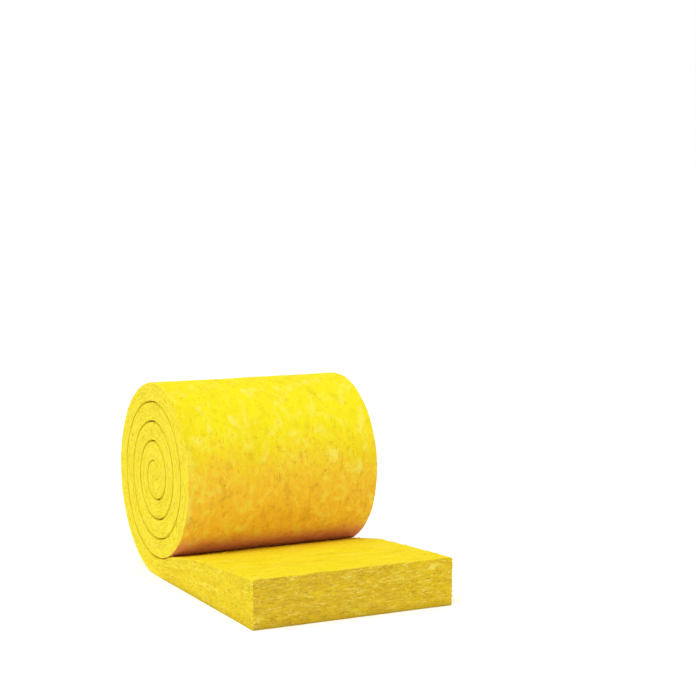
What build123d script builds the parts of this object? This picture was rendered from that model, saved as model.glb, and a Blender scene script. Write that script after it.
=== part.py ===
"""A roll of glass wool insulation, lying on its side with its free end rolled out flat.

The object is one felted mat. From its cut end it lies on the floor, runs in under the roll, goes up the
back, over the top and down the front, and winds on inwards, squeezed to less than half its free thickness.
The outline is drawn in the YZ plane and extruded along X, the axis of the roll. -Y points to the cut end,
and the origin is on the floor, under the middle of the whole outline.
"""

from build123d import *

import os

# The mat, in millimetres
mat_width = 600.0
free_thickness = 135.0
packed_thickness = 57.0
tail_length = 677.0

# The winding, counted in quarter turns of the mat
quarter_turns = 19
core_radius = 34.0

# The tail's upper face: it springs back fast from the nip under the roll up to a soft knee, which lies this
# far from the floor contact, and slowly from there to the cut end
knee_run = 260.0
knee_thickness = 106.0
knee_radius = 1200.0

# Rounded corners and edges
nip_radius = 1.5
top_corner_radius = 5.0
bottom_corner_radius = 8.0
side_edge_radius = 3.0

# The seam between neighbouring turns, a tapered groove in both end faces
seam_mouth = 5.0
seam_root = 1.0
seam_depth = 14.0
seam_lead_angle = 25.0
cut_overrun = 1.0

# The winding is drawn as tangent quarter circles. Each is smaller than the one outside it by one step, and
# their centres go round the corners of a square whose side is that step.
quarters_per_turn = 4
quarter_angle = 90
centre_square = [(0, 0), (1, 0), (1, 1), (0, 1)]
quarter_step = packed_thickness / quarters_per_turn
outer_radius = core_radius + (quarter_turns - 1) * quarter_step

# Where the roll touches the floor, with the origin under the middle of the outline
contact_y = (tail_length - outer_radius) / 2
cut_end_y = contact_y - tail_length


def quarter_arc(number):
    """The centre, radius and start angle of a quarter turn, numbered inwards from the floor contact."""
    across, up = centre_square[number % quarters_per_turn]
    centre = (contact_y + across * quarter_step, outer_radius + up * quarter_step)
    radius = outer_radius - number * quarter_step
    start_angle = (number - 1) * quarter_angle
    return centre, radius, start_angle


def draw_quarters(first, last):
    """Draw the quarter turns from first up to last, without it, in the line builder that is open."""
    for number in range(first, last):
        centre, radius, start_angle = quarter_arc(number)
        CenterArc(centre, radius, start_angle, quarter_angle)


with BuildPart() as wool_mat:
    # Half the mat's width: the outer turn and the tail as one outline
    with BuildSketch(Plane.YZ) as outline:
        with BuildLine() as roll_outline:
            draw_quarters(0, quarters_per_turn)
            Line((contact_y, packed_thickness), (contact_y, 0))
        make_face()
        with BuildLine() as tail_outline:
            FilletPolyline(
                (contact_y, packed_thickness),
                (contact_y - knee_run, knee_thickness),
                (cut_end_y, free_thickness),
                radius=knee_radius,
            )
            Polyline(
                (cut_end_y, free_thickness),
                (cut_end_y, 0),
                (contact_y, 0),
                (contact_y, packed_thickness),
            )
        make_face()

        # The nip is the lowest corner above the floor
        nip_corner = outline.vertices().group_by(Axis.Y)[1]
        fillet(nip_corner, nip_radius)
        cut_end_corners = outline.vertices().group_by(Axis.X)[0].sort_by(Axis.Y)
        fillet(cut_end_corners[0], bottom_corner_radius)
        fillet(cut_end_corners[1], top_corner_radius)
    extrude(amount=mat_width / 2)

    end_face = wool_mat.faces().sort_by(Axis.X)[-1]
    fillet(end_face.edges(), side_edge_radius)

    # The seam follows the inner turns, and opens at the nip into the gap between roll and tail
    with BuildLine(Plane.YZ.offset(mat_width / 2)) as seam_path:
        nip_centre, nip_turn_radius, nip_turn_start = quarter_arc(quarters_per_turn - 1)
        lead_start = nip_turn_start + quarter_angle - seam_lead_angle
        CenterArc(nip_centre, nip_turn_radius, lead_start, seam_lead_angle)
        draw_quarters(quarters_per_turn, quarter_turns)
    seam_start = Plane(origin=seam_path.line @ 0, x_dir=(1, 0, 0), z_dir=seam_path.line % 0)
    with BuildSketch(seam_start):
        Polygon(
            (cut_overrun, -seam_mouth / 2),
            (cut_overrun, seam_mouth / 2),
            (-seam_depth, seam_root / 2),
            (-seam_depth, -seam_root / 2),
            align=None,
        )
    sweep(path=seam_path.line, mode=Mode.SUBTRACT)

    mirror(about=Plane.YZ)

wool_mat.part.label = "wool_mat"

os.makedirs("parts", exist_ok=True)
export_step(wool_mat.part, "parts/wool_mat.step")
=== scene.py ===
"""Dresses a packed roll of glass wool insulation: the wound mat, its loose wool, the light and the camera."""

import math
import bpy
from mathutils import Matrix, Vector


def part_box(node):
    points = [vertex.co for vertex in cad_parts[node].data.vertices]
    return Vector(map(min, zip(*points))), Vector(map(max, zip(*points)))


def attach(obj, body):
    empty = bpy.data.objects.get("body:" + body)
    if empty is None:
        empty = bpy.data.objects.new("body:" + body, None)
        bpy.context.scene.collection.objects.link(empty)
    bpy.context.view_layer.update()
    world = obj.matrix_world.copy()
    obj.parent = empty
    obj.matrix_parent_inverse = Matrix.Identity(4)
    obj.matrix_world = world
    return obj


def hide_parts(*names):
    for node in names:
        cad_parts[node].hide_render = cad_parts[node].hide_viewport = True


bl_info = {
    "name": "Glass Wool Roll",
    "version": (1, 0, 0),
    "blender": (4, 5, 0),
    "location": "3D View > Sidebar > Wool Roll",
    "description": "Winds a glass wool mat into a roll with its free end rolled out flat, and lights it",
    "category": "Object",
}

import bpy
from bpy.props import FloatProperty, FloatVectorProperty, IntProperty, PointerProperty
from mathutils import Matrix, Vector

MM = 0.001
QUARTER_ANGLE = math.pi / 2
NODE = "wool_mat"
BODY = "root"

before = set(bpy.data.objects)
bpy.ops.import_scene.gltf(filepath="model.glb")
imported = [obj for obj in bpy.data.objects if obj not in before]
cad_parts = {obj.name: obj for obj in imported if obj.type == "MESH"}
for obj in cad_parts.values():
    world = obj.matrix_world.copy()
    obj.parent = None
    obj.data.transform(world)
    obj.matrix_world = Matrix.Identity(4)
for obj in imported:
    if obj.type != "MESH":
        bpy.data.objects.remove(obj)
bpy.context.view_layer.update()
MAT_LOW, MAT_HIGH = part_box(NODE)

# Sizes of the winding that the frame's box doesn't give
PACKED_THICKNESS = 57 * MM
OUTER_RADIUS = 290.5 * MM
QUARTERS_PER_TURN = 4
CENTRE_SQUARE = ((0, 0), (1, 0), (1, 1), (0, 1))

# How far along the tail the roll hides its upper side, and over what length a seam fades
HIDDEN_MARGIN = 50 * MM
# How close points are before they merge
MERGE_DISTANCE = 0.02 * MM
# The share of the mat's thickness next to a seam that is darkened, partly for the denser skin there and
# partly as painted shade in the gap between turns
SEAM_SHARE = 0.07
# How far from the cut end its upper edge starts to wander
SWAYING_LENGTH = 160 * MM
# The painted shade up the roll's front, by how far it lies from where its outside starts, hidden on the tail:
# a painted russet shadow up to the nip, then a painted amber shade from the second to the third, faded to
# lemon at the last
NIP = 120 * MM
NIP_SHADE_STARTS = 258 * MM
DEEPEST = 280 * MM
FADED = 600 * MM
# How far before the outside's start the painted amber shade may begin
AMBER_SHADE_LEAD = 30 * MM
# How high above the floor a painted shade darkens the tail's sides and cut end, and how high it is darkest
SHADED_FOOT = 36 * MM
DARKEST_SHADED_FOOT = 7 * MM
# Half the width of the square floor
FLOOR_HALF = 30.0
WHITE = (1.0, 1.0, 1.0)

MAT = "glass_wool_mat"
FINISHES = {"Outer Face": "Outer Face Wool", "Inner Face": "Upper Face Wool", "Side": "Trimmed Side Wool",
            "Cut End": "Cut End Wool"}

# The names of the attributes on the route and the mat
INWARD = "inward"
TRAVEL = "travel"
RADIUS = "radius"
STATION = "station"
PLACE = "mat_place"
SURFACE = "mat_surface"
GRAIN = "mat_grain"
SHOWN = "mat_shown"
FACING = "mat_facing"

# The numbers of a Mix node's two inputs and its output, for each kind of value
MIX_SOCKETS = {"FLOAT": (2, 3, 0), "VECTOR": (4, 5, 1), "RGBA": (6, 7, 2)}


class WoolMatSizes(bpy.types.PropertyGroup):
    """Sizes of the wound mat"""

    width: FloatProperty(
        name="Width", description="Width of the mat, along the roll's axis",
        default=MAT_HIGH.x - MAT_LOW.x, unit="LENGTH")
    free_thickness: FloatProperty(
        name="Free Thickness", description="Thickness of the mat at its cut end",
        default=135 * MM, unit="LENGTH")
    packed_thickness: FloatProperty(
        name="Packed Thickness", description="Distance between neighbouring turns of the roll",
        default=PACKED_THICKNESS, unit="LENGTH")
    outer_radius: FloatProperty(
        name="Outer Radius", description="Radius of the quarter turn that touches the floor",
        default=OUTER_RADIUS, unit="LENGTH")
    tail_length: FloatProperty(
        name="Tail Length", description="Mat that lies flat, from below the roll to the cut end",
        default=MAT_HIGH.y - MAT_LOW.y - OUTER_RADIUS, unit="LENGTH")
    knee_run: FloatProperty(
        name="Knee Run", description="How far from the roll's contact the tail's upper face bends",
        default=260 * MM, unit="LENGTH")
    knee_thickness: FloatProperty(
        name="Knee Thickness", description="Thickness of the tail where its upper face bends",
        default=106 * MM, unit="LENGTH")
    core_radius: FloatProperty(
        name="Core Radius", description="Radius inside which the turns are pressed into one another",
        default=28 * MM, unit="LENGTH")
    knee_softness: FloatProperty(
        name="Knee Softness", description="How gradually the tail's upper face bends",
        default=40 * MM, unit="LENGTH")
    seam_gap: FloatProperty(
        name="Seam Gap", description="Gap between neighbouring turns", default=2.8 * MM, unit="LENGTH")
    turn_edge_radius: FloatProperty(
        name="Turn Edge Radius", description="Rounding of the mat's edges in the roll",
        default=2.8 * MM, unit="LENGTH")
    top_edge_radius: FloatProperty(
        name="Top Edge Radius", description="Rounding of the mat's upper edges at the cut end",
        default=3 * MM, unit="LENGTH")
    bottom_edge_radius: FloatProperty(
        name="Bottom Edge Radius", description="Rounding of the mat's lower edges at the cut end",
        default=3.5 * MM, unit="LENGTH")
    layer_relief: FloatProperty(
        name="Layer Relief", description="Height of the layers on the sides and the cut end",
        default=1.4 * MM, unit="LENGTH")
    end_waviness: FloatProperty(
        name="End Waviness", description="How far the upper edge of the cut end wanders up and down",
        default=4 * MM, unit="LENGTH")
    face_relief: FloatProperty(
        name="Face Relief", description="Height of the dimples and creases on the broad faces",
        default=2 * MM, unit="LENGTH")
    waviness: FloatProperty(
        name="Waviness", description="How far the layers of felt wander up and down",
        default=8 * MM, unit="LENGTH")
    outer_spacing: FloatProperty(
        name="Outer Spacing", description="Length of the mesh's faces round the roll's outside",
        default=8 * MM, unit="LENGTH")
    wound_spacing: FloatProperty(
        name="Wound Spacing", description="Length of the mesh's faces along the inner turns",
        default=17 * MM, unit="LENGTH")
    tail_spacing: FloatProperty(
        name="Tail Spacing", description="Length of the mesh's faces along the tail",
        default=7.5 * MM, unit="LENGTH")
    cells_across: IntProperty(
        name="Cells Across", description="Points of the mesh across the mat's width", default=126)
    cells_deep: IntProperty(
        name="Cells Deep", description="Points of the mesh through the mat's thickness", default=47)
    seed: IntProperty(name="Seed", description="Which pattern of wool is made", default=4)


class LooseWoolSizes(bpy.types.PropertyGroup):
    """Flakes of felt and stray fibres on the mat"""

    flake_length: FloatProperty(
        name="Flake Length", description="Length of the longest flakes", default=26 * MM, unit="LENGTH")
    flake_width: FloatProperty(
        name="Flake Width", description="Width of the widest flakes", default=4.6 * MM, unit="LENGTH")
    flake_height: FloatProperty(
        name="Flake Height", description="How far the tallest flakes stand out",
        default=1.2 * MM, unit="LENGTH")
    flakes_trimmed: FloatProperty(
        name="Flakes on Trimmed Faces", description="Flakes to a square metre, twice as many at the cut end",
        default=5200.0)
    flakes_broad: FloatProperty(
        name="Flakes on Broad Faces", description="Flakes to a square metre", default=600.0)
    fibre_length: FloatProperty(
        name="Fibre Length", description="Length of the longest fibres", default=16 * MM, unit="LENGTH")
    fibre_thickness: FloatProperty(
        name="Fibre Thickness", description="Thickness of a strand of fibres",
        default=0.5 * MM, unit="LENGTH")
    fibres_on_faces: FloatProperty(
        name="Fibres on Faces", description="Fibres to a square metre", default=180.0)
    fibres_on_edges: FloatProperty(
        name="Fibres on Edges", description="Fibres to a square metre of the rounded edges", default=5000.0)
    seed: IntProperty(name="Seed", description="Which pattern of flakes and fibres is made", default=7)


class WoolColours(bpy.types.PropertyGroup):
    """Colours of the wool"""

    lemon: FloatVectorProperty(
        name="Lemon Wool", description="Most of the roll's outside", subtype="COLOR",
        default=(0.96, 0.84, 0.01))
    gold: FloatVectorProperty(
        name="Golden Wool", description="Clouds of deeper yellow", subtype="COLOR",
        default=(0.91, 0.65, 0.012))
    # Painted shade: the orange of the roll's shaded lower front, lit by bounced light, painted into the
    # colour
    amber_shade: FloatVectorProperty(
        name="Painted Amber Shade", description="The low front of the roll, next to the nip", subtype="COLOR",
        default=(1.0, 0.55, 0.047))
    # Painted shadow: the dark of the nip under the roll, painted into the colour
    nip_shadow: FloatVectorProperty(
        name="Painted Nip Shadow", description="The wool in the nip itself", subtype="COLOR",
        default=(0.8, 0.22, 0.22))
    upper: FloatVectorProperty(
        name="Upper Side", description="The tail's upper side", subtype="COLOR",
        default=(0.92, 0.75, 0.01))
    side: FloatVectorProperty(
        name="Trimmed Side", description="The roll's ends and the tail's sides", subtype="COLOR",
        default=(0.935, 0.79, 0.026))
    cut: FloatVectorProperty(
        name="Cut End", description="The end of the tail", subtype="COLOR",
        default=(0.765, 0.505, 0.027))
    pale: FloatVectorProperty(
        name="Pale Wool", description="Loose, cottony patches", subtype="COLOR",
        default=(0.98, 0.86, 0.125))
    binder: FloatVectorProperty(
        name="Binder Flecks", description="Flecks of dark binder", subtype="COLOR",
        default=(0.42, 0.27, 0.012))
    fluff: FloatVectorProperty(
        name="Side Fluff", description="Loose patches on the trimmed sides", subtype="COLOR",
        default=(0.98, 0.86, 0.095))
    straw: FloatVectorProperty(
        name="Straw Wool", description="Loose patches on the cut end", subtype="COLOR",
        default=(0.99, 0.8, 0.125))
    umber: FloatVectorProperty(
        name="Umber Stains", description="Flecks and stains low on the roll's front", subtype="COLOR",
        default=(0.5, 0.24, 0.008))


class StudioSettings(bpy.types.PropertyGroup):
    """The light and the camera"""

    world_light: FloatProperty(
        name="World Light", description="Strength of the even light from all round", default=0.78)
    key_light: FloatProperty(
        name="Key Light", description="Strength of the broad sun above and to the left", default=1.05)
    key_spread: FloatProperty(
        name="Key Spread", description="How broad the sun is, which softens the shadows",
        default=math.radians(50), unit="ROTATION")
    key_from: FloatVectorProperty(
        name="Key From", description="Where the sun stands, seen from the roll", subtype="DIRECTION",
        default=(-0.5, -0.1, 0.85))
    lens: FloatProperty(name="Lens", description="Focal length", default=89.07, unit="CAMERA")
    camera_place: FloatVectorProperty(
        name="Camera Place", description="Where the camera stands", subtype="XYZ", unit="LENGTH",
        default=(-2.112, -4.4397, 1.1899))
    camera_turn: FloatProperty(
        name="Camera Turn", description="How far the camera looks to the right of +Y",
        default=math.radians(27.79), unit="ROTATION")
    camera_dip: FloatProperty(
        name="Camera Dip", description="How far the camera looks down",
        default=math.radians(5.956), unit="ROTATION")
    camera_roll: FloatProperty(
        name="Camera Roll", description="How far the camera leans",
        default=math.radians(0.365), unit="ROTATION")


class Wire:
    """What a node gives out. Arithmetic on wires adds the nodes that work it out."""

    def __init__(self, tree, socket):
        self.tree = tree
        self.socket = socket

    def other(self, name):
        """Another output of the same node."""
        return Wire(self.tree, self.socket.node.outputs[name])

    def __add__(self, value):
        return maths("ADD", self, value)

    def __sub__(self, value):
        return maths("SUBTRACT", self, value)

    def __rsub__(self, value):
        return maths("SUBTRACT", value, self)

    def __mul__(self, value):
        scaled = is_vector(self) and not is_vector(value)
        return maths("SCALE" if scaled else "MULTIPLY", self, value)

    def __truediv__(self, value):
        return maths("DIVIDE", self, value)

    def __neg__(self):
        return maths("MULTIPLY", self, -1.0)

    def __abs__(self):
        return maths("ABSOLUTE", self)

    def __gt__(self, value):
        return maths("GREATER_THAN", self, value)

    def __lt__(self, value):
        return maths("LESS_THAN", self, value)


def is_vector(value):
    """Whether a value, of a wire or written out, is a vector."""
    return isinstance(value, tuple) or isinstance(value, Wire) and value.socket.type == "VECTOR"


def add_node(tree, kind, inputs=None, output=0, **settings):
    """Add a node, set its options, link or fill its inputs, and return one output.

    The inputs and the output are given by name or number.
    """
    node = tree.nodes.new(kind)
    for option, value in settings.items():
        setattr(node, option, value)
    for key, value in (inputs or {}).items():
        if isinstance(value, Wire):
            tree.links.new(value.socket, node.inputs[key])
        else:
            node.inputs[key].default_value = value
    return Wire(tree, node.outputs[output]) if node.outputs else None


def tree_of(*values):
    """The tree that the wires among some values are in."""
    return next(value.tree for value in values if isinstance(value, Wire))


def maths(operation, *values):
    """One step of arithmetic on numbers or, if a vector is among the values, on vectors."""
    kind = "ShaderNodeVectorMath" if any(map(is_vector, values)) else "ShaderNodeMath"
    keys = (0, "Scale") if operation == "SCALE" else range(len(values))
    output = "Value" if operation == "LENGTH" else 0
    return add_node(tree_of(*values), kind, dict(zip(keys, values)), output, operation=operation)


def largest(first, second):
    """The larger of two values."""
    return maths("MAXIMUM", first, second)


def smallest(first, second):
    """The smaller of two values."""
    return maths("MINIMUM", first, second)


def combine(x, y, z):
    """A vector from three numbers."""
    return add_node(tree_of(x, y, z), "ShaderNodeCombineXYZ", {"X": x, "Y": y, "Z": z})


def separate(vector):
    """The three numbers of a vector."""
    x = add_node(vector.tree, "ShaderNodeSeparateXYZ", {"Vector": vector})
    return x, x.other("Y"), x.other("Z")


def mix(factor, first, second, kind="FLOAT"):
    """The first value where the factor is 0, the second where it is 1, and a mixture in between."""
    first_key, second_key, output = MIX_SOCKETS[kind]
    inputs = {0: factor, first_key: first, second_key: second}
    return add_node(factor.tree, "ShaderNodeMix", inputs, output, data_type=kind)


def remap(value, low, high, to_low=0.0, to_high=1.0):
    """Stretch a number from one range to another, and stop at its ends."""
    inputs = {"Value": value, "From Min": low, "From Max": high, "To Min": to_low, "To Max": to_high}
    return add_node(value.tree, "ShaderNodeMapRange", inputs, "Result", interpolation_type="SMOOTHSTEP")


def crowd(value, share):
    """Move evenly spaced values between -1 and 1 closer together near the ends."""
    wave = maths("SINE", value * QUARTER_ANGLE)
    return value * (1 - share) + wave * share


def noise(place, cells, detail=3.0, roughness=0.55, distortion=0.0, shift=0.0):
    """Cloudy noise from 0 to 1, with so many cells to a metre each way. Shift gives another pattern."""
    shifted = place * cells + (shift, 2.3 * shift, 0.7 * shift)
    return add_node(place.tree, "ShaderNodeTexNoise", {
        "Vector": shifted, "Scale": 1.0, "Detail": detail, "Roughness": roughness,
        "Distortion": distortion}, "Fac")


def signed_noise(place, cells, detail=3.0, share=1.0):
    """Cloudy noise between -share and share."""
    return maths("MULTIPLY_ADD", noise(place, cells, detail, 0.6), 2.0 * share, -share)


def times(cells, factor):
    """So many times as many cells."""
    return tuple(factor * count for count in cells)


def new_geometry_tree(name, **inputs):
    """A Geometry Nodes tree, and its inputs by name, which are listed by kind."""
    tree = bpy.data.node_groups.new(name, "GeometryNodeTree")
    tree.is_modifier = True
    for direction in ("INPUT", "OUTPUT"):
        tree.interface.new_socket("Geometry", in_out=direction, socket_type="NodeSocketGeometry")
    for kind, labels in inputs.items():
        for label in labels:
            tree.interface.new_socket(label, in_out="INPUT", socket_type="NodeSocket" + kind)
    sockets = tree.nodes.new("NodeGroupInput").outputs
    return tree, {socket.name: Wire(tree, socket) for socket in sockets}


def new_object(name):
    """An empty mesh object at the origin."""
    empty = bpy.data.objects.new(name, bpy.data.meshes.new(name))
    bpy.context.scene.collection.objects.link(empty)
    return empty


def make_piece(name, tree, sizes, others):
    """Make a plain mesh with a Geometry Nodes tree, and say what it moves with and which finish it takes.

    The tree's inputs take the sizes and the other values that have their names.
    """
    piece = new_object(name)
    modifier = piece.modifiers.new(tree.name, "NODES")
    modifier.node_group = tree
    properties = sizes.bl_rna.properties
    values = {properties[size].name: getattr(sizes, size) for size in type(sizes).__annotations__}
    values.update(others)
    for item in tree.interface.items_tree:
        if item.in_out == "INPUT" and item.name in values:
            modifier[item.identifier] = values[item.name]
    bpy.context.view_layer.update()
    depsgraph = bpy.context.evaluated_depsgraph_get()
    evaluated = piece.evaluated_get(depsgraph)
    mesh = bpy.data.meshes.new_from_object(evaluated, preserve_all_data_layers=True, depsgraph=depsgraph)
    piece.modifiers.clear()
    piece.data = mesh
    mesh.name = name
    # The slot of the empty mesh that the tree started from
    if not mesh.materials[0]:
        mesh.materials.pop(index=0)
    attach(piece, BODY)
    return piece


def quarter_arc(sizes, number):
    """The centre, radius and start angle of a quarter turn, numbered inwards from the floor contact."""
    step = sizes.packed_thickness / QUARTERS_PER_TURN
    across, up = CENTRE_SQUARE[number % QUARTERS_PER_TURN]
    contact_y = MAT_HIGH.y - sizes.outer_radius
    centre = Vector((0, contact_y + across * step, sizes.outer_radius + up * step))
    return centre, sizes.outer_radius - number * step, (number - 1) * QUARTER_ANGLE


def tail_thickness(sizes, run):
    """Thickness of the tail at a distance from the roll's contact with the floor."""
    far_run = sizes.tail_length - sizes.knee_run
    near_slope = (sizes.knee_thickness - sizes.packed_thickness) / sizes.knee_run
    far_slope = (sizes.free_thickness - sizes.knee_thickness) / far_run
    softness = sizes.knee_softness
    rounding = math.hypot(run - sizes.knee_run, softness) - math.hypot(far_run, softness)
    from_end = run - sizes.tail_length
    free = sizes.free_thickness + (near_slope + far_slope) / 2 * from_end
    free -= (near_slope - far_slope) / 2 * rounding
    centre, radius, _ = quarter_arc(sizes, QUARTERS_PER_TURN - 1)
    if run >= radius:
        return free
    return min(free, centre.z - math.sqrt(radius * radius - run * run) - sizes.seam_gap)


def seam_opening(sizes, radius):
    """How far open the seam is at that radius: 0 in the core, where the turns are pressed together, or 1."""
    return min(1.0, max(0.0, radius / sizes.core_radius - 1.0))


def make_route(sizes):
    """A line of points on the mat's outer face, from the core to the cut end.

    Each point also says how far along the mat it is, the radius there, and its way in to the inner face.
    Returns the line, and how far along the mat the roll's outside and the tail start.
    """
    fewest_cells = 6
    edge_cells = 5
    stations = []
    travel = 0.0
    roll_starts = 0.0
    step = sizes.packed_thickness / QUARTERS_PER_TURN
    core_centre = quarter_arc(sizes, 0)[0] + Vector((0, step / 2, step / 2))
    for number in reversed(range(int(sizes.outer_radius / step) + 1)):
        centre, radius, start_angle = quarter_arc(sizes, number)
        if number == QUARTERS_PER_TURN - 1:
            roll_starts = travel
        length = radius * QUARTER_ANGLE
        spacing = sizes.outer_spacing if number < QUARTERS_PER_TURN else sizes.wound_spacing
        count = max(fewest_cells, round(length / spacing))
        hollow = radius - sizes.packed_thickness
        hollow += sizes.seam_gap * seam_opening(sizes, hollow)
        for index in range(count):
            angle = start_angle + QUARTER_ANGLE * (1 - index / count)
            outward = Vector((0, math.cos(angle), math.sin(angle)))
            outer = centre + outward * radius
            inner = core_centre + outward * MM
            if radius > sizes.packed_thickness:
                inner = centre + outward * hollow
            stations.append((outer, inner - outer, travel + length * index / count, radius))
        travel += length
    contact = quarter_arc(sizes, 0)[0] - Vector((0, 0, sizes.outer_radius))
    edge = sizes.bottom_edge_radius
    plain = sizes.tail_length - edge
    count = round(plain / sizes.tail_spacing)
    runs = [plain * index / count for index in range(count)]
    runs += [plain + edge * (index / edge_cells) for index in range(edge_cells + 1)]
    for run in runs:
        way_in = Vector((0, 0, tail_thickness(sizes, run)))
        stations.append((contact - Vector((0, run, 0)), way_in, travel + run, sizes.outer_radius))

    route = new_object("mat_route")
    mesh = route.data
    mesh.from_pydata([station[0] for station in stations], [], [])
    inward = mesh.attributes.new(INWARD, "FLOAT_VECTOR", "POINT")
    inward.data.foreach_set("vector", [number for station in stations for number in station[1]])
    for number, name in ((2, TRAVEL), (3, RADIUS)):
        numbers = mesh.attributes.new(name, "FLOAT", "POINT")
        numbers.data.foreach_set("value", [station[number] for station in stations])
    return route, roll_starts, travel


def sample(source, value, index):
    """The value that the route has at the point with that index."""
    kind = "FLOAT_VECTOR" if is_vector(value) else "FLOAT"
    inputs = {"Geometry": source, "Value": value, "Index": index}
    return add_node(source.tree, "GeometryNodeSampleIndex", inputs, data_type=kind, domain="POINT")


def store(geometry, name, value):
    """Keep a value on the points of the mesh."""
    kind = "FLOAT_VECTOR" if is_vector(value) else "FLOAT"
    inputs = {"Geometry": geometry, "Name": name, "Value": value}
    return add_node(geometry.tree, "GeometryNodeStoreNamedAttribute", inputs, data_type=kind, domain="POINT")


def attribute(tree, name, kind="FLOAT_VECTOR"):
    """A value that was kept on the points."""
    return add_node(tree, "GeometryNodeInputNamedAttribute", {"Name": name}, "Attribute", data_type=kind)


def set_finish(geometry, finish, chosen=True):
    """Give the chosen faces a material."""
    inputs = {"Geometry": geometry, "Selection": chosen, "Material": finish}
    return add_node(geometry.tree, "GeometryNodeSetMaterial", inputs)


def mat_tree():
    """Geometry Nodes that bend a fine rounded box along the route and raise the wool's relief on it."""
    tree, given = new_geometry_tree(
        "Wound Mat", Object=("Route",), Int=("Stations", "Cells Across", "Cells Deep", "Seed"),
        Float=("Width", "Length", "Free Thickness", "Packed Thickness", "Turn Edge Radius", "Top Edge Radius",
               "Bottom Edge Radius", "Core Radius", "Roll Starts", "Tail Starts", "Hidden Margin",
               "Layer Relief", "Face Relief", "Waviness", "End Waviness"),
        Material=FINISHES)
    length = given["Length"]
    roll_starts = given["Roll Starts"]
    tail_starts = given["Tail Starts"]
    margin = given["Hidden Margin"]
    half_width = given["Width"] * 0.5
    route = add_node(tree, "GeometryNodeObjectInfo", {"Object": given["Route"]}, "Geometry")
    position = add_node(tree, "GeometryNodeInputPosition")

    # A box laid out flat: x across, y along the mat, z from the outer face inwards
    box = add_node(tree, "GeometryNodeMeshCube", {
        "Vertices X": given["Cells Across"], "Vertices Y": given["Stations"],
        "Vertices Z": given["Cells Deep"]})
    x, y, z = separate(position)
    box = store(box, STATION, maths("ROUND", (y + 0.5) * (given["Stations"] - 1.0)))
    station = maths("ROUND", attribute(tree, STATION, "FLOAT"))
    travel = sample(route, attribute(tree, TRAVEL, "FLOAT"), station)
    inward = sample(route, attribute(tree, INWARD), station)
    radius = sample(route, attribute(tree, RADIUS, "FLOAT"), station)
    outer_place = sample(route, position, station)
    thickness = maths("LENGTH", inward)
    across = crowd(x * 2.0, 0.6) * half_width
    depth_share = maths("MULTIPLY_ADD", crowd(z * 2.0, 0.3), 0.5, 0.5)

    # Where nothing shows a broad face, its points are drawn out to the mat's sides, where they merge
    hidden_outer = largest(travel < roll_starts, travel > tail_starts) * (depth_share < 0.5)
    hidden_inner = (depth_share > 0.5) * (travel < tail_starts + margin)
    at_cut_end = travel > length - margin
    hidden = largest(hidden_outer, hidden_inner) - at_cut_end
    shown_edge = half_width - given["Turn Edge Radius"] * 3.0
    drawn_out = maths("SIGN", across) * largest(abs(across), shown_edge)
    spot = combine(mix(hidden, across, drawn_out), travel, depth_share * thickness)
    box = add_node(tree, "GeometryNodeSetPosition", {"Geometry": box, "Position": spot})
    box = add_node(tree, "GeometryNodeMergeByDistance", {"Geometry": box, "Distance": MERGE_DISTANCE})

    # Each face of the box has its own finish
    face_x, face_y, face_z = separate(add_node(tree, "GeometryNodeInputNormal"))
    box = set_finish(box, given["Outer Face"])
    for facing, finish in ((face_z, "Inner Face"), (abs(face_x), "Side"), (abs(face_y), "Cut End")):
        box = set_finish(box, given[finish], facing > 0.6)

    # Round its edges: each point is pushed out by the radius from a core box, smaller by that radius
    towards_top = separate(position)[2] / thickness
    tail_edge = remap(towards_top, 0.0, 1.0, given["Bottom Edge Radius"], given["Top Edge Radius"])
    edge = mix(remap(travel, tail_starts, length), given["Turn Edge Radius"], tail_edge)
    edge = smallest(edge, thickness * 0.4)
    core_half = half_width - edge
    core_low = combine(-core_half, edge, edge)
    core_high = combine(core_half, length - edge, thickness - edge)
    core = smallest(largest(position, core_low), core_high)
    out = maths("NORMALIZE", position - core)
    round_x, round_y, round_z = separate(core + out * edge)
    out_x, out_y, out_z = separate(out)

    # Where a point lies in the free, uncompressed mat, whose layers of felt are gently wavy
    share = round_z / thickness
    in_mat = combine(round_x + given["Seed"] * 1.7, round_y, share * given["Free Thickness"])
    sway = signed_noise(in_mat, (7, 7, 9), 1.0) + signed_noise(in_mat, (22, 22, 20), 1.0, 0.5)
    box = store(box, PLACE, in_mat + combine(0.0, 0.0, sway * given["Waviness"]))
    stored = attribute(tree, PLACE)

    # The relief of the trimmed sides and the cut end, of the tail's upper side, and of the roll's outside
    trimmed = largest(abs(out_x), abs(out_y))
    upper = largest(out_z, 0.0)
    outside = largest(-out_z, 0.0)
    layers = trimmed * (signed_noise(stored, (16, 16, 80)) + signed_noise(stored, (3, 3, 5), 1.0, 0.7))
    creases = upper * (signed_noise(stored, (4, 26, 8)) + signed_noise(stored, (4, 5, 5), 1.0, 0.8))
    clouds = outside * (signed_noise(stored, (26, 18, 9), 4.0) + signed_noise(stored, (5, 4, 5), 1.0, 0.8))

    # How freely the wool has sprung back, and how near a seam it is
    freedom = remap(travel, tail_starts - margin, length)
    outer_seam = remap(share, SEAM_SHARE, 0.0) * remap(travel, roll_starts + margin, roll_starts)
    at_seam = largest(outer_seam, remap(share, 1.0 - SEAM_SHARE, 1.0))
    own_radius = radius - share * given["Packed Thickness"]
    out_of_core = remap(own_radius, given["Core Radius"], given["Core Radius"] * 2.0)
    at_seam = at_seam * remap(travel, tail_starts + margin, tail_starts) * out_of_core
    box = store(box, SURFACE, combine(layers + creases + clouds, at_seam, freedom))
    springy = maths("MULTIPLY_ADD", freedom, 0.5, 1.0)
    height = layers * given["Layer Relief"] * springy
    height = height + creases * given["Face Relief"] + clouds * given["Face Relief"]

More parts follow.
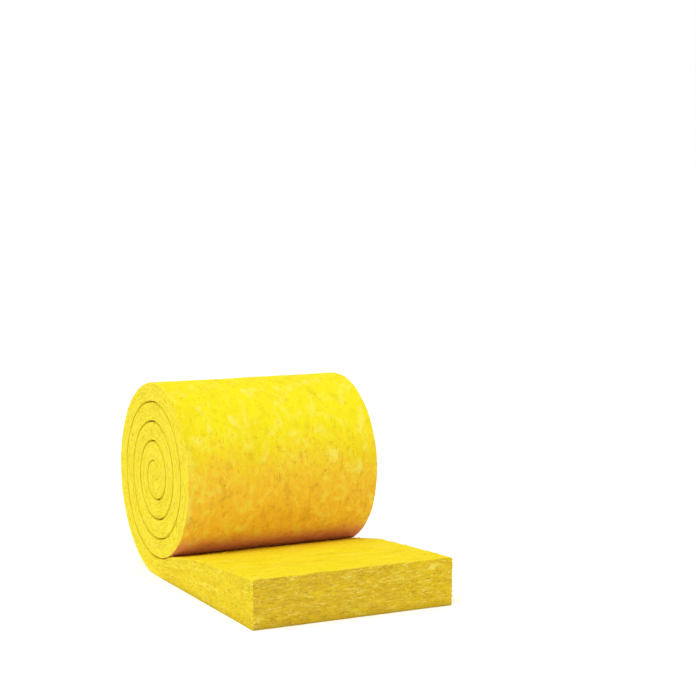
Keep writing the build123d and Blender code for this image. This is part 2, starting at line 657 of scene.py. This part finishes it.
    # Bend the box along the route
    way_in = maths("NORMALIZE", inward)
    onward = maths("CROSS_PRODUCT", (1.0, 0.0, 0.0), way_in)

    def bent(flat_x, flat_y, flat_z):
        """A way in the flat box, turned as the route turns."""
        return way_in * flat_z + onward * flat_y + combine(flat_x, 0.0, 0.0)

    near_end = remap(travel, length - SWAYING_LENGTH, length)
    end_sway = signed_noise(in_mat, (12, 0, 0), 2.0) + signed_noise(in_mat, (2.5, 0.0, 0.0), 0.0, 0.6)
    lifted = round_z + end_sway * near_end * share * given["End Waviness"]
    spot = outer_place + bent(round_x, round_y - travel, lifted) + bent(out_x, out_y, out_z) * height
    spot_x, spot_y, spot_z = separate(spot)
    above_floor = combine(spot_x, spot_y, largest(spot_z, 0.0))

    # The way that the felt's layers run
    upper_shown = travel > tail_starts + margin
    crosswise = largest(abs(out_y), out_z * upper_shown) > 0.5
    box = store(box, GRAIN, mix(crosswise, onward, (1.0, 0.0, 0.0), "VECTOR"))

    # How far a point is on a trimmed, an upper or an outside face that shows
    outside_shown = (travel > roll_starts) * (travel < tail_starts)
    box = store(box, SHOWN, combine(trimmed, upper * upper_shown, outside * outside_shown))
    mat = add_node(tree, "GeometryNodeSetPosition", {"Geometry": box, "Position": above_floor})
    mat = add_node(tree, "GeometryNodeFlipFaces", {"Mesh": mat})
    mat = add_node(tree, "GeometryNodeSetShadeSmooth", {"Geometry": mat})
    add_node(tree, "NodeGroupOutput", {"Geometry": mat})
    return tree


def on_mat(mat, on_trimmed, on_broad, on_edges, lowest, seed):
    """Points strewn over what shows of the mat, so many to a square metre, which keep the way they face."""
    tree = mat.tree
    source = add_node(tree, "GeometryNodeObjectInfo", {"Object": mat}, "Geometry")
    height = separate(add_node(tree, "GeometryNodeInputPosition"))[2]
    _, at_seam, freedom = separate(attribute(tree, SURFACE))
    trimmed, upper, outside = separate(attribute(tree, SHOWN))
    broad = upper + outside
    density = trimmed * on_trimmed * (at_seam < 0.05) * (freedom + 1.0) + broad * on_broad
    density = density + broad * trimmed * on_edges * 4.0
    points = add_node(tree, "GeometryNodeDistributePointsOnFaces", {
        "Mesh": source, "Density": density * (height > lowest), "Seed": seed})
    return store(points, FACING, points.other("Normal"))


def random_vector(low, high, seed):
    """A vector for each point, between two others."""
    inputs = {"Min": low, "Max": high, "Seed": seed}
    return add_node(seed.tree, "FunctionNodeRandomValue", inputs, "Value", data_type="FLOAT_VECTOR")


def lay_shapes(points, shapes, scale, sway, seed):
    """Put a shape on each point, along the felt's layers give or take a sway, and make one mesh of them."""
    tree = points.tree
    along = attribute(tree, GRAIN) + random_vector((-sway, -sway, -sway), (sway, sway, sway), seed)
    axes = {"Primary Axis": attribute(tree, FACING), "Secondary Axis": along}
    rotation = add_node(tree, "FunctionNodeAxesToRotation", axes, primary_axis="Z", secondary_axis="X")
    laid = add_node(tree, "GeometryNodeInstanceOnPoints", {
        "Points": points, "Instance": shapes, "Pick Instance": True, "Rotation": rotation, "Scale": scale})
    realized = add_node(tree, "GeometryNodeRealizeInstances", {"Geometry": laid})
    return add_node(tree, "GeometryNodeSetShadeSmooth", {"Geometry": realized})


def flakes_tree():
    """Geometry Nodes that lay small flakes of felt on the mat, each with the colour of a place near by."""
    tree, given = new_geometry_tree(
        "Wool Flakes", Object=("Mat",), Int=("Seed",),
        Float=("Flake Length", "Flake Width", "Flake Height", "Flakes on Trimmed Faces",
               "Flakes on Broad Faces"),
        Material=FINISHES)
    seed = given["Seed"]
    points = on_mat(given["Mat"], given["Flakes on Trimmed Faces"], given["Flakes on Broad Faces"], 0.0,
                    given["Flake Width"], seed)
    elsewhere = random_vector((-0.5, -0.01, -0.02), (0.5, 0.01, 0.02), seed)
    points = store(points, PLACE, attribute(tree, PLACE) + elsewhere)
    flake = add_node(tree, "GeometryNodeMeshIcoSphere", {"Radius": 0.5, "Subdivisions": 1})
    shapes = add_node(tree, "GeometryNodeGeometryToInstance", {"Geometry": flake})
    size = combine(given["Flake Length"], given["Flake Width"], given["Flake Height"] * 2.0)
    scale = size * random_vector((0.3, 0.4, 0.4), (1.0, 1.0, 1.0), seed)
    flakes = lay_shapes(points, shapes, scale, 0.2, seed)
    trimmed, upper, _ = separate(attribute(tree, SHOWN))
    facing_y = separate(attribute(tree, FACING))[1]
    on_trimmed = trimmed > 0.5
    at_end = on_trimmed * (facing_y < -0.7)
    flakes = set_finish(flakes, given["Outer Face"])
    for chosen, finish in ((upper > 0.5, "Inner Face"), (on_trimmed, "Side"), (at_end, "Cut End")):
        flakes = set_finish(flakes, given[finish], chosen)
    add_node(tree, "NodeGroupOutput", {"Geometry": flakes})
    return tree


def fibres_tree():
    """Geometry Nodes that let curved strands of fibre stand off the mat, most of them along its edges."""
    tree, given = new_geometry_tree(
        "Stray Fibres", Object=("Mat",), Int=("Seed",),
        Float=("Fibre Length", "Fibre Thickness", "Fibres on Faces", "Fibres on Edges"), Material=("Finish",))
    seed = given["Seed"]
    length = given["Fibre Length"]
    on_faces = given["Fibres on Faces"]
    points = on_mat(given["Mat"], on_faces, on_faces, given["Fibres on Edges"], length, seed)
    thickness = given["Fibre Thickness"] / length
    outline = add_node(tree, "GeometryNodeCurvePrimitiveCircle", {"Resolution": 3, "Radius": thickness * 0.5})
    shapes = tree.nodes.new("GeometryNodeJoinGeometry")
    for middle, end in (((0.5, 0.25, 0.2), (1.0, 0.1, -0.02)), ((0.4, -0.3, 0.15), (0.9, 0.2, 0.08)),
                        ((0.7, 0.1, 0.3), (0.8, -0.3, 0.1)), ((0.3, 0.4, 0.15), (1.0, 0.3, -0.02))):
        bow = add_node(tree, "GeometryNodeCurveQuadraticBezier", {
            "Resolution": 5, "Start": (0.0, 0.0, -0.01), "Middle": middle, "End": end})
        strand = add_node(tree, "GeometryNodeCurveToMesh", {
            "Curve": bow, "Profile Curve": outline, "Fill Caps": True})
        strand = add_node(tree, "GeometryNodeGeometryToInstance", {"Geometry": strand})
        tree.links.new(strand.socket, shapes.inputs[0])
    scale = random_vector((0.4, 0.3, 0.3), (1.0, 1.0, 1.0), seed) * length
    fibres = lay_shapes(points, Wire(tree, shapes.outputs[0]), scale, 0.4, seed)
    fibres = set_finish(fibres, given["Finish"])
    add_node(tree, "NodeGroupOutput", {"Geometry": fibres})
    return tree


def emptied_tree(owner):
    """The node tree of a new material or world, without the nodes that it comes with."""
    owner.use_nodes = True
    owner.node_tree.nodes.clear()
    return owner.node_tree


def opaque(colour):
    """A colour as a socket takes it, with its opacity. A wire stays as it is."""
    return colour if isinstance(colour, Wire) else (*colour, 1.0)


def give_surface(tree, colour, inputs):
    """End a material in the surface that its colour and the other inputs of the shader describe."""
    shader = add_node(tree, "ShaderNodeBsdfPrincipled", {"Base Color": opaque(colour), **inputs})
    add_node(tree, "ShaderNodeOutputMaterial", {"Surface": shader})


def start_finish(face):
    """An empty material, and what its patterns follow: the place in the mat and three facts of the surface.

    Those are the height of the relief, how near a seam is, and how freely the wool has sprung back.
    """
    material = bpy.data.materials.new(FINISHES[face])
    tree = emptied_tree(material)
    place = add_node(tree, "ShaderNodeAttribute", output="Vector", attribute_name=PLACE)
    surface = add_node(tree, "ShaderNodeAttribute", output="Vector", attribute_name=SURFACE)
    return material, place, separate(surface)


def blend(below, above, amount, value, low, high):
    """Lay a colour over another as far as the value lies from low towards high."""
    return mix(remap(value, low, high) * amount, opaque(below), opaque(above), "RGBA")


def finish_wool(shade, bumps, depth):
    """Give the wool its dull, bumpy surface. Bumps are pairs of a pattern and its share of the depth."""
    height = 0.0
    for pattern, part in bumps:
        height = maths("MULTIPLY_ADD", pattern, part, height)
    bump = add_node(shade.tree, "ShaderNodeBump", {"Strength": 1.0, "Distance": depth, "Height": height})
    give_surface(shade.tree, shade, {"Roughness": 0.95, "Normal": bump, "Specular IOR Level": 0.1})


def skin_finish(face, plain, colours, clouds, wisps, cloudy, pale, flecks, roll_starts=None):
    """The cottony broad face of the mat. Clouds and wisps give the cells to a metre across and along it.

    Cloudy, pale and flecks are the strengths of its clouds, patches and flecks. Where the roll's outside
    starts is given for the face whose low front gets a painted amber shade, and a painted russet shadow in
    the nip.
    """
    material, place, (relief, _, _) = start_finish(face)
    travel = separate(place)[1]
    broad = noise(place, clouds, 5.0, 0.6, 0.5)
    wispy = noise(place, wisps, 2.0, 0.5, 0.3, shift=11.0)
    patchy = noise(place, times(wisps, 0.9), 2.0, 0.35, 0.2, shift=91.0)
    mottled = noise(place, times(wisps, 2.3), 4.0, 0.65, 0.4, shift=23.0)
    specks = noise(place, times(wisps, 3.0), 3.0, 0.6, 0.3, shift=37.0)
    soiled = noise(place, times(clouds, 0.8), 4.0, 0.65, 0.4, shift=53.0)
    fine = noise(place, (230, 200, 230), 4.0, 0.7, 1.0, shift=71.0)
    gold = colours.gold
    shades_low_front = roll_starts is not None
    shade = plain
    cloud_share = 1.0
    cottoned = pale
    fleck = colours.binder
    # Low on the roll's front, where shade falls, the shade is painted in; lowness rises towards the nip
    if shades_low_front:
        in_turn = travel > roll_starts - AMBER_SHADE_LEAD
        uneven = travel + (broad - 0.5) * 0.36 + (mottled - 0.5) * 0.13
        lowness = in_turn * remap(uneven, roll_starts + FADED, roll_starts + DEEPEST)
        # The clouds are painted fainter up the roll's brightly lit top, where bright light washes them out,
        # and full low on its front
        cloud_share = remap(lowness, 0.0, 0.6, 0.4, 1.0)
        cottoned = remap(lowness, 0.0, 1.0, 1.0, 0.85) * pale
        fleck = blend(colours.binder, colours.umber, 1.0, lowness, 0.15, 0.9)
    clouded = cloud_share * cloudy
    shade = blend(shade, gold, clouded, broad, 0.46, 0.66)
    shade = blend(shade, gold, clouded, mottled, 0.5, 0.3)
    grimy = remap(soiled, 0.42, 0.78) * clouded
    shade = blend(shade, gold, 0.9, grimy * specks, 0.15, 0.5)
    if shades_low_front:
        # Painted amber shade over the roll's low front
        shade = blend(shade, colours.amber_shade, 0.82, lowness, 0.0, 1.0)
        for pattern, low, high, colour, amount in (
                (specks, 0.42, 0.66, colours.umber, 0.13), (wispy, 0.5, 0.28, colours.umber, 0.2),
                (mottled, 0.5, 0.7, plain, 0.22), (wispy, 0.5, 0.72, plain, 0.3)):
            shade = blend(shade, colour, amount, lowness * remap(pattern, low, high), 0.0, 1.0)
    shade = blend(shade, fleck, 0.2, wispy, 0.44, 0.24)
    shade = blend(shade, colours.pale, cottoned * 0.6, wispy + mottled * 0.3 + fine * 0.25, 0.8, 1.0)
    shade = blend(shade, colours.pale, cottoned, patchy + mottled * 0.15, 0.66, 0.86)
    shade = blend(shade, colours.pale, cottoned * 0.45, fine, 0.54, 0.7)
    shade = blend(shade, gold, cloud_share * 0.35, fine, 0.46, 0.3)
    if shades_low_front:
        # Painted russet shadow in the nip
        in_nip = in_turn * remap(travel, roll_starts + NIP_SHADE_STARTS, roll_starts + NIP)
        shade = blend(shade, colours.nip_shadow, 0.73, in_nip, 0.0, 1.0)
    shade = blend(shade, fleck, flecks, specks + grimy * 0.12, 0.62, 0.79)
    # Painted shade in the hollows of the relief
    shade = blend(shade, fleck, 0.25, relief, -0.2, -0.9)
    finish_wool(shade, ((wispy, 0.6), (mottled, 0.4), (fine, 0.1)), depth=5 * MM)
    return material


def layered_finish(face, plain, patches, colours, bands, tufts, contrast, loosened, golden):
    """The trimmed wool of the sides and the cut end. Bands and tufts give the cells to a metre each way.

    Patches is the colour of its loose wool. Loosened is the share of the cut end's colour that it takes on
    where it lies free, and golden the share of the golden colour that it has at the mat's right side.
    """
    material, place, (relief, at_seam, freedom) = start_finish(face)
    across, _, height = separate(add_node(place.tree, "ShaderNodeTexCoord", output="Object"))
    broad = noise(place, (9, 9, 14), 4.0, 0.6, 0.4)
    banded = noise(place, bands, 3.0, 0.6, 0.8, shift=11.0)
    split = noise(place, times(bands, 1.5), 2.0, 0.5, 0.6, shift=29.0)
    tufted = noise(place, tufts, 3.0, 0.65, 0.6, shift=43.0)
    fine = noise(place, times(tufts, 2.0), 3.0, 0.7, 1.0, shift=71.0)
    grainy = noise(place, (150, 150, 75), 2.0, 0.6, 0.3, shift=57.0)
    clumped = noise(place, times(bands, 0.7), 2.0, 0.5, 0.4, shift=97.0)
    free = remap(freedom, 0.0, 0.1)
    packed = (1.0 - free) * contrast
    gold, binder = colours.gold, colours.binder
    shade = blend(plain, gold, free * 0.4 + 0.3, broad, 0.46, 0.7)
    shade = blend(shade, colours.lemon, 0.4, broad, 0.46, 0.26)
    shade = blend(shade, colours.pale, packed, grainy, 0.5, 0.64)
    shade = blend(shade, gold, packed * 0.7, grainy, 0.48, 0.35)
    shade = blend(shade, colours.cut, loosened, freedom, 0.0, 0.06)
    shade = blend(shade, gold, golden, across, 0.0, MAT_HIGH.x)
    shade = blend(shade, patches, 0.5 * contrast, clumped, 0.54, 0.72)
    shade = blend(shade, binder, 0.35 * contrast, clumped, 0.46, 0.28)
    shade = blend(shade, patches, contrast, banded + tufted * 0.4 + fine * 0.2, 0.82, 1.02)
    shade = blend(shade, gold, 0.75 * contrast, banded, 0.46, 0.28)
    shade = blend(shade, binder, 0.4 * contrast, abs(split - 0.5), 0.03, 0.0)
    shade = blend(shade, patches, 0.85 * contrast, tufted, 0.56, 0.76)
    shade = blend(shade, binder, 0.6 * contrast, tufted, 0.42, 0.24)
    # Painted shade in the hollows of the relief
    shade = blend(shade, gold, 0.5 * contrast, relief, -0.2, -0.8)
    # Darker at the seams: partly the denser skin, partly painted shade in the gap between turns
    shade = blend(shade, binder, 0.9, at_seam, 0.0, 1.0)
    # Painted shade at the foot of the tail's sides and cut end, near the floor
    foot_shade = remap(height, SHADED_FOOT, 0.0) + remap(height, DARKEST_SHADED_FOOT, 0.0)
    shade = blend(shade, binder, 0.9 * contrast, free * foot_shade, 0.0, 2.0)
    finish_wool(shade, ((banded, 0.5), (tufted, 0.35), (fine, 0.1)), depth=3 * MM)
    return material


def plain_finish(name, colour):
    """A material of one colour, for what is too thin to show a pattern."""
    material = bpy.data.materials.new(name)
    give_surface(emptied_tree(material), colour, {"Roughness": 0.8, "Specular IOR Level": 0.2})
    return material


class WOOL_OT_wind_mat(bpy.types.Operator):
    """Make the mat, wound into a roll with its free end rolled out flat"""

    bl_idname = "wool.wind_mat"
    bl_label = "Wind Mat"

    def execute(self, context):
        sizes = context.scene.wool_mat_sizes
        colours = context.scene.wool_colours
        route, roll_starts, tail_starts = make_route(sizes)
        mat = make_piece(MAT, mat_tree(), sizes, {
            "Route": route,
            "Stations": len(route.data.vertices),
            "Length": tail_starts + sizes.tail_length,
            "Roll Starts": roll_starts,
            "Tail Starts": tail_starts,
            "Hidden Margin": HIDDEN_MARGIN,
            "Outer Face": skin_finish(
                "Outer Face", colours.lemon, colours, clouds=(9, 7, 9), wisps=(32, 21, 30), cloudy=0.85,
                pale=0.75, flecks=0.5, roll_starts=roll_starts),
            "Inner Face": skin_finish(
                "Inner Face", colours.upper, colours, clouds=(4, 14, 9), wisps=(13, 42, 30), cloudy=0.5,
                pale=0.5, flecks=0.35),
            "Side": layered_finish(
                "Side", colours.side, colours.fluff, colours, bands=(9, 9, 46),
                tufts=(50, 50, 115), contrast=0.65, loosened=0.35, golden=0.0),
            "Cut End": layered_finish(
                "Cut End", colours.cut, colours.straw, colours, bands=(17, 19, 90),
                tufts=(62, 62, 165), contrast=0.85, loosened=0.0, golden=0.45),
        })
        bpy.data.objects.remove(route)
        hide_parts(NODE)
        return {"FINISHED"}


class WOOL_OT_lay_flakes(bpy.types.Operator):
    """Lay small flakes of felt on the mat's faces, which comes first"""

    bl_idname = "wool.lay_flakes"
    bl_label = "Lay Flakes"

    def execute(self, context):
        finishes = {face: bpy.data.materials[name] for face, name in FINISHES.items()}
        make_piece("wool_flakes", flakes_tree(), context.scene.wool_loose_sizes, {
            "Mat": bpy.data.objects[MAT], **finishes})
        return {"FINISHED"}


class WOOL_OT_pull_fibres(bpy.types.Operator):
    """Let stray fibres stand off the mat, which comes first"""

    bl_idname = "wool.pull_fibres"
    bl_label = "Pull Fibres"

    def execute(self, context):
        finish = plain_finish("Stray Fibre", context.scene.wool_colours.pale)
        make_piece("stray_fibres", fibres_tree(), context.scene.wool_loose_sizes, {
            "Mat": bpy.data.objects[MAT], "Finish": finish})
        return {"FINISHED"}


def seen_directly(tree):
    """1 for the camera's own rays, and for those that a glossy or clear surface sends on, else 0."""
    camera = add_node(tree, "ShaderNodeLightPath", output="Is Camera Ray")
    return largest(camera, largest(camera.other("Is Glossy Ray"), camera.other("Is Transmission Ray")))


class WOOL_OT_set_stage(bpy.types.Operator):
    """Lay the floor, hang the light and set up the camera"""

    bl_idname = "wool.set_stage"
    bl_label = "Set Stage"

    def execute(self, context):
        studio = context.scene.wool_studio
        self.lay_floor(FLOOR_HALF)
        self.light(context.scene, studio)
        self.set_camera(context.scene, studio)
        context.scene.view_settings.view_transform = "Standard"
        return {"FINISHED"}

    def lay_floor(self, half):
        """A wide floor under the roll. The camera sees it white, apart from the roll's shadow."""
        floor = new_object("floor")
        corners = [(-half, -half, 0), (half, -half, 0), (half, half, 0), (-half, half, 0)]
        floor.data.from_pydata(corners, [], [(0, 1, 2, 3)])
        material = bpy.data.materials.new("White Floor")
        tree = emptied_tree(material)
        give_surface(tree, (0.95, 0.95, 0.95), {
            "Roughness": 1.0, "Specular IOR Level": 0.0, "Emission Color": opaque(WHITE),
            "Emission Strength": seen_directly(tree) * 0.25})
        floor.data.materials.append(material)

    def light(self, scene, studio):
        """Even light from all round, which the camera sees as white, and a broad sun from above."""
        scene.world = bpy.data.worlds.new("Studio")
        tree = emptied_tree(scene.world)
        strength = mix(seen_directly(tree), studio.world_light, 1.0)
        background = add_node(tree, "ShaderNodeBackground", {"Color": opaque(WHITE), "Strength": strength})
        add_node(tree, "ShaderNodeOutputWorld", {"Surface": background})

        lamp = bpy.data.lights.new("Key", "SUN")
        lamp.energy = studio.key_light
        lamp.angle = studio.key_spread
        key = bpy.data.objects.new("Key", lamp)
        key.rotation_euler = Vector(studio.key_from).to_track_quat("Z", "Y").to_euler()
        scene.collection.objects.link(key)

    def set_camera(self, scene, studio):
        """The photograph's viewpoint, lens and lean."""
        turn, dip, roll = studio.camera_turn, studio.camera_dip, studio.camera_roll
        forward = Vector((math.sin(turn) * math.cos(dip), math.cos(turn) * math.cos(dip), -math.sin(dip)))
        level = Vector((math.cos(turn), -math.sin(turn), 0))
        upright = level.cross(forward)
        right = level * math.cos(roll) + upright * math.sin(roll)
        up = right.cross(forward)
        camera = bpy.data.objects.new("Camera", bpy.data.cameras.new("Camera"))
        camera.data.lens = studio.lens
        camera.matrix_world = Matrix.Translation(studio.camera_place) @ Matrix(
            (right, up, -forward)).transposed().to_4x4()
        scene.collection.objects.link(camera)
        scene.camera = camera


class WOOL_PT_roll(bpy.types.Panel):
    """Sizes, colours and steps of the roll"""

    bl_idname = "WOOL_PT_roll"
    bl_label = "Wool Roll"
    bl_space_type = "VIEW_3D"
    bl_region_type = "UI"
    bl_category = "Wool Roll"

    def draw(self, context):
        for owner, kind in GROUPS.items():
            box = self.layout.box()
            for name in kind.__annotations__:
                box.prop(getattr(context.scene, owner), name)
        for operator in OPERATORS:
            self.layout.operator(operator.bl_idname)


OPERATORS = (WOOL_OT_wind_mat, WOOL_OT_lay_flakes, WOOL_OT_pull_fibres, WOOL_OT_set_stage)
GROUPS = {"wool_mat_sizes": WoolMatSizes, "wool_loose_sizes": LooseWoolSizes, "wool_colours": WoolColours,
          "wool_studio": StudioSettings}
CLASSES = (*GROUPS.values(), *OPERATORS, WOOL_PT_roll)


def register():
    for kind in CLASSES:
        bpy.utils.register_class(kind)
    for name, group in GROUPS.items():
        setattr(bpy.types.Scene, name, PointerProperty(type=group))


def unregister():
    for name in GROUPS:
        delattr(bpy.types.Scene, name)
    for kind in reversed(CLASSES):
        bpy.utils.unregister_class(kind)


def main():
    """Make every piece in order."""
    register()
    bpy.ops.wool.set_stage()
    bpy.ops.wool.wind_mat()
    bpy.ops.wool.lay_flakes()
    bpy.ops.wool.pull_fibres()


if __name__ == "__main__":
    main()
